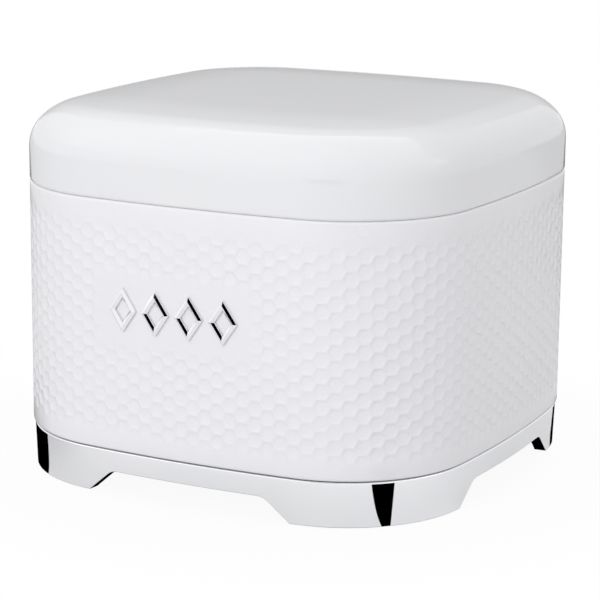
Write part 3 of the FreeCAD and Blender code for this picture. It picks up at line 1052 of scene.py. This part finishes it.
@dataclass
class Studio:
    """The floor, lamps and camera, and the boards and flags that only mirrors see, which paint reflections
    and shade there.

    The camera's place, lens and sensor and the flags are in millimetres, and all other lengths in metres.
    """

    azimuth: float = 27.61
    elevation: float = 12.954
    roll: float = 0.505
    distance: float = 1347.56
    target: tuple[float, float, float] = (2.614, -6.137, 90.269)
    lens: float = 140.143
    sensor: float = 36.0
    clip: float = 50.0
    ambient: float = 0.74
    paper: str = "#E0E0E0"
    floor_r: float = 6.0
    floor_parts: int = 96
    seen: Halo = Halo(0.12, 0.30, 0.94)
    mirrored: Halo = Halo(0.1, 0.36, 0.47)
    lamp_aim: float = 0.1
    board_aim: float = 0.2
    flag_up: float = 0.3
    boxes: list[Softbox] = field(default_factory=lambda: [
        Softbox("key", -5.0, 20.0, 1.5, 1.3, 6.9),
        Softbox("fill", 102.0, 20.0, 1.6, 1.2, 1.55),
    ])
    # Painted reflections, lit by nothing and lighting nothing: a small black card for the ornaments'
    # facets, a grey board behind for the lid's top, and glowing boards above and to both sides for the
    # highlights on the lid and the chrome.
    boards: list[Board] = field(default_factory=lambda: [
        Board("flag_front", 20.0, -3.0, 0.289, 0.092, 0.034, 0.0, 0.0),
        Board("grey_board", 207.6, 26.5, 1.1, 1.1, 1.1, 0.4, 1.35),
        Board("painted_highlight_ceiling", 27.6, 80.0, 1.22, 6.0, 2.5, 1.0, 2.4),
        Board("painted_reflection_left", -100.0, 34.0, 1.3, 1.6, 1.0, 1.0, 1.9),
        Board("painted_reflection_right", 152.0, 34.0, 1.3, 1.5, 1.0, 1.0, 1.35),
    ])
    # Black flags on the floor, painted dark reflections for the chrome: at the plinth's front corner, along
    # its left, and under and behind the tin's back right corner, where it stands for the tin's own shade.
    flags: list[tuple[str, list[tuple[float, float]]]] = field(default_factory=lambda: [
        ("flag_corner", [(105.6, -109.3), (194.7, -194.8), (229.3, -147.8), (108.5, -106.9)]),
        ("flag_left", [(-98, -118.5), (-180, -110.5), (-270, -102), (-270, 120), (-110, 120), (-120, -60)]),
        ("flag_right", [(129, 66), (131, 102), (130, 140), (128, 175), (90, 190), (70, 140), (112, 112)]),
    ])
    behind_near: float = 400.0
    behind_far: float = 2000.0
    behind_wide: float = 1100.0
    under_in: float = 2.0
    # Painted shade in mirrors: the floor's glow fades almost away to the back left, and to two thirds
    # towards the back.
    painted_mirror_shades: list[PaintedMirrorShade] = field(default_factory=lambda: [
        PaintedMirrorShade((-0.9, 0.44, 0.0), -0.03, 0.12, 0.1),
        PaintedMirrorShade((0.0, 1.0, 0.0), -0.1, 0.17, 0.63),
    ])

    def back(self, azimuth: float, elevation: float) -> Vector:
        """Direction from the tin towards a place in the studio.

        Args:
            azimuth: degrees round from the front, to the right.
            elevation: degrees up from the floor.

        Returns:
            The direction, of length one.
        """
        a, e = math.radians(azimuth), math.radians(elevation)
        return Vector((math.sin(a) * math.cos(e), -math.cos(a) * math.cos(e), math.sin(e)))

    def camera(self) -> None:
        """Set the camera at the photograph's viewing angle."""
        data = bpy.data.cameras.new("camera")
        data.lens = self.lens
        data.sensor_width = self.sensor
        data.clip_end = self.clip
        camera = bpy.data.objects.new("camera", data)
        bpy.context.scene.collection.objects.link(camera)
        back = self.back(self.azimuth, self.elevation)
        camera.location = (Vector(self.target) + back * self.distance) * MM
        roll = Matrix.Rotation(math.radians(self.roll), 3, "Z")
        camera.rotation_euler = ((-back).to_track_quat("-Z", "Y").to_matrix() @ roll).to_euler()
        bpy.context.scene.camera = camera

    def lights(self) -> None:
        """Hang the soft lamps round the tin."""
        aim = Vector((0, 0, self.lamp_aim))
        for box in self.boxes:
            data = bpy.data.lights.new(box.name, "AREA")
            data.size = box.size
            data.energy = box.power
            lamp = bpy.data.objects.new(box.name, data)
            bpy.context.scene.collection.objects.link(lamp)
            back = self.back(box.azimuth, box.elevation)
            lamp.visible_glossy = False
            lamp.location = aim + back * box.far
            lamp.rotation_euler = back.to_track_quat("Z", "Y").to_euler()

    def world(self) -> None:
        """Make the surroundings white to the eye and in mirrors, and a soft grey as light."""
        world = bpy.data.worlds.new("studio")
        bpy.context.scene.world = world
        world.use_nodes = True
        tree = world.node_tree
        path = add_node(tree, "ShaderNodeLightPath")
        seen = add_node(tree, "ShaderNodeMath", {"operation": "MAXIMUM"},
                        {0: path.outputs["Is Camera Ray"], 1: path.outputs["Is Glossy Ray"]})
        seen = add_node(tree, "ShaderNodeMath", {"operation": "MAXIMUM"},
                        {0: seen.outputs[0], 1: path.outputs["Is Transmission Ray"]})
        level = add_node(tree, "ShaderNodeMapRange", None,
                         {"Value": seen.outputs[0], "To Min": self.ambient})
        tree.links.new(level.outputs["Result"], tree.nodes["Background"].inputs["Strength"])
        tree.nodes["Background"].inputs["Color"].default_value = (1, 1, 1, 1)

    def floor(self) -> None:
        """Lay the pale floor, which keeps the tin's shadow and runs out to white. The white is a glow over
        the lit paper; mirrors see less of it near the tin, so the paper's own shadow shows more there, and
        painted shade dims it further in set directions.
        """
        bm = bmesh.new()
        bmesh.ops.create_circle(bm, cap_ends=True, segments=self.floor_parts, radius=self.floor_r)
        mesh = bpy.data.meshes.new("floor")
        bm.to_mesh(mesh)
        bm.free()
        floor = bpy.data.objects.new("floor", mesh)
        bpy.context.scene.collection.objects.link(floor)
        made = bpy.data.materials.new("matt white sweep paper")
        made.use_nodes = True
        tree = made.node_tree
        tree.nodes.remove(tree.nodes["Principled BSDF"])
        path = add_node(tree, "ShaderNodeLightPath")
        place = add_node(tree, "ShaderNodeTexCoord").outputs["Object"]
        paper = add_node(tree, "ShaderNodeBsdfDiffuse", None, {"Color": linear(self.paper)})
        white = add_node(tree, "ShaderNodeEmission", None, {"Color": (1, 1, 1, 1), "Strength": 1.0})
        far = add_node(tree, "ShaderNodeVectorMath", {"operation": "LENGTH"}, {0: place})
        share, mirror = [
            add_node(tree, "ShaderNodeMapRange", {"interpolation_type": "SMOOTHSTEP"}, {
                "Value": far.outputs["Value"], "From Min": halo.start, "From Max": halo.end,
                "To Min": halo.share, "To Max": 1.0})
            for halo in (self.seen, self.mirrored)]
        eye = add_node(tree, "ShaderNodeMath", {"operation": "MULTIPLY"},
                       {0: share.outputs["Result"], 1: path.outputs["Is Camera Ray"]})
        metal = add_node(tree, "ShaderNodeMath", {"operation": "MAXIMUM"},
                         {0: path.outputs["Is Glossy Ray"], 1: path.outputs["Is Transmission Ray"]})
        metal = add_node(tree, "ShaderNodeMath", {"operation": "MULTIPLY"},
                         {0: mirror.outputs["Result"], 1: metal.outputs[0]})
        # Painted shade for mirrors: the glow that mirrors see fades along each of these ways.
        for fall in self.painted_mirror_shades:
            along = add_node(tree, "ShaderNodeVectorMath", {"operation": "DOT_PRODUCT"},
                             {0: place, 1: fall.way})
            dim = add_node(tree, "ShaderNodeMapRange", {"interpolation_type": "SMOOTHSTEP"}, {
                "Value": along.outputs["Value"], "From Min": fall.start, "From Max": fall.end,
                "To Min": 1.0, "To Max": fall.level})
            metal = add_node(tree, "ShaderNodeMath", {"operation": "MULTIPLY"},
                             {0: metal.outputs[0], 1: dim.outputs["Result"]})
        both = add_node(tree, "ShaderNodeMath", {"operation": "ADD"},
                        {0: eye.outputs[0], 1: metal.outputs[0]})
        mix = add_node(tree, "ShaderNodeMixShader", None,
                       {0: both.outputs[0], 1: paper.outputs[0], 2: white.outputs[0]})
        tree.links.new(mix.outputs[0], tree.nodes["Material Output"].inputs["Surface"])
        mesh.materials.append(made)

    def card(self, bm: bmesh.types.BMesh, name: str, low: float = 0.0, high: float = 0.0) -> None:
        """Hang a card that only mirrors see, a painted reflection: it glows or stays black in mirrors
        alone, and lights and shades nothing.

        Args:
            bm: the card's mesh, which is freed.
            name: the card's name.
            low: how bright its lower edge is, from 0 for black.
            high: how bright its upper edge is.
        """
        heights = [vert.co.z for vert in bm.verts]
        mesh = bpy.data.meshes.new(name)
        bm.to_mesh(mesh)
        bm.free()
        card = bpy.data.objects.new(name, mesh)
        bpy.context.scene.collection.objects.link(card)
        made = bpy.data.materials.new(name + " board")
        made.use_nodes = True
        tree = made.node_tree
        tree.nodes.remove(tree.nodes["Principled BSDF"])
        place = add_node(tree, "ShaderNodeTexCoord").outputs["Object"]
        up = add_node(tree, "ShaderNodeSeparateXYZ", None, {0: place}).outputs["Z"]
        grade = add_node(tree, "ShaderNodeMapRange", None, {
            "Value": up, "From Min": min(heights), "From Max": max(heights) + MM,
            "To Min": low, "To Max": high})
        glow = add_node(tree, "ShaderNodeEmission", None, {"Strength": grade.outputs["Result"]})
        tree.links.new(glow.outputs[0], tree.nodes["Material Output"].inputs["Surface"])
        mesh.materials.append(made)
        card.visible_camera = False
        card.visible_diffuse = False
        card.visible_shadow = False
        card.visible_transmission = False

    def behind(self) -> list[tuple[float, float]]:
        """Lay out the black flag behind the tin, square to the camera: a painted dark reflection along the
        tin's edges in mirrors.

        Returns:
            Its corners.
        """
        half = self.behind_wide / 2
        turn = Matrix.Rotation(math.radians(self.azimuth), 2)
        square = [(-half, self.behind_near), (half, self.behind_near),
                  (half, self.behind_far), (-half, self.behind_far)]
        return [(turn @ Vector(corner)).to_tuple() for corner in square]

    def cards(self) -> None:
        """Lay the black flags on the floor and hang the glowing boards, all painted reflections that only
        mirrors see.
        """
        for name, corners in [*self.flags, ("flag_behind", self.behind())]:
            bm = bmesh.new()
            bm.faces.new([bm.verts.new(Vector((x, y, self.flag_up)) * MM) for x, y in corners])
            self.card(bm, name)
        # Painted shade: a black sheet under the tin stands for the shadowed floor beneath it as the chrome
        # mirrors it.
        bm = bmesh.new()
        PLAN.sweep(bm, [(-self.under_in, self.flag_up)])
        bmesh.ops.contextual_create(bm, geom=bm.edges[:])
        self.card(bm, "painted_shade_under_tin")
        aim = Vector((0, 0, self.board_aim))
        for board in self.boards:
            bm = bmesh.new()
            bmesh.ops.create_grid(bm, x_segments=1, y_segments=1, size=0.5)
            back = self.back(board.azimuth, board.elevation)
            turn = back.to_track_quat("Z", "Y").to_matrix().to_4x4()
            size = Matrix.Diagonal((board.wide, board.high, 1, 1))
            face = Matrix.Translation(aim + back * board.far) @ turn @ size
            bmesh.ops.transform(bm, matrix=face, verts=bm.verts[:])
            self.card(bm, board.name, board.low_level, board.high_level)

    def build(self) -> None:
        """Set up the whole studio."""
        bpy.context.scene.view_settings.view_transform = "Standard"
        self.camera()
        self.lights()
        self.world()
        self.floor()
        self.cards()


def main() -> None:
    """Build the tin's sub-assemblies in order, then the studio."""
    logging.basicConfig(level=logging.INFO, format="%(name)s %(message)s")
    # Gloss enamel over smooth pressed steel gives long clean reflections.
    gloss = Enamel("gloss baked enamel on pressed steel", "#ECECEF", "#E9EAED", 0.09, ior=1.55)
    # On the embossed wall the same enamel pools in the dents and shines a little less.
    satin = Enamel("satin baked enamel on embossed steel", "#F0EFF3", "#ECECF0", 0.25)
    # Inside, a thinner coat is duller and a shade greyer.
    inner = Enamel("thin baked enamel inside the tin", "#E9EAEB", "#E4E6E8", 0.30)
    # Chrome mirrors the floor and the studio, with the slow ripple of the moulding under it.
    chrome = Chrome("bright chrome plating on moulded ABS")
    bright = Chrome("bright chrome plating on small mouldings", ripple_mm=12.0, ripple_depth_mm=0.004)
    # Silicone lets light in a little way, so that its lips look soft and slightly grey.
    silicone = Moulded("moulded translucent silicone", "#E2E5E6", "#D8DCDE", 3.0, 0.02, 0.38, 0.5,
                       scatter=0.3)
    # Rubber is near black with a dry, fine bloom.
    rubber = Moulded("moulded black rubber", "#171717", "#212121", 0.8, 0.03, 0.65, 0.85)
    # Zinc plate is pale grey metal with a fine crystalline mottle.
    zinc = Moulded("bright zinc plating on turned steel", "#C6CACE", "#AEB3B8", 1.5, 0.01, 0.25, 0.45,
                   metallic=1.0)
    # Foam tape is matt white with pores.
    foam = Moulded("white closed-cell foam tape", "#ECECEA", "#DCDCD8", 0.4, 0.05, 0.8, 0.95)

    lid = Lid()
    lid.shell(gloss)
    lid.seal(silicone)
    body = Body()
    body.wall(satin)
    body.tray(inner)
    base = Base()
    base.plinth(chrome)
    base.pads(rubber)
    base.fixings(zinc)
    Ornaments().row(bright, foam)
    Studio().build()


if __name__ == "__main__":
    main()
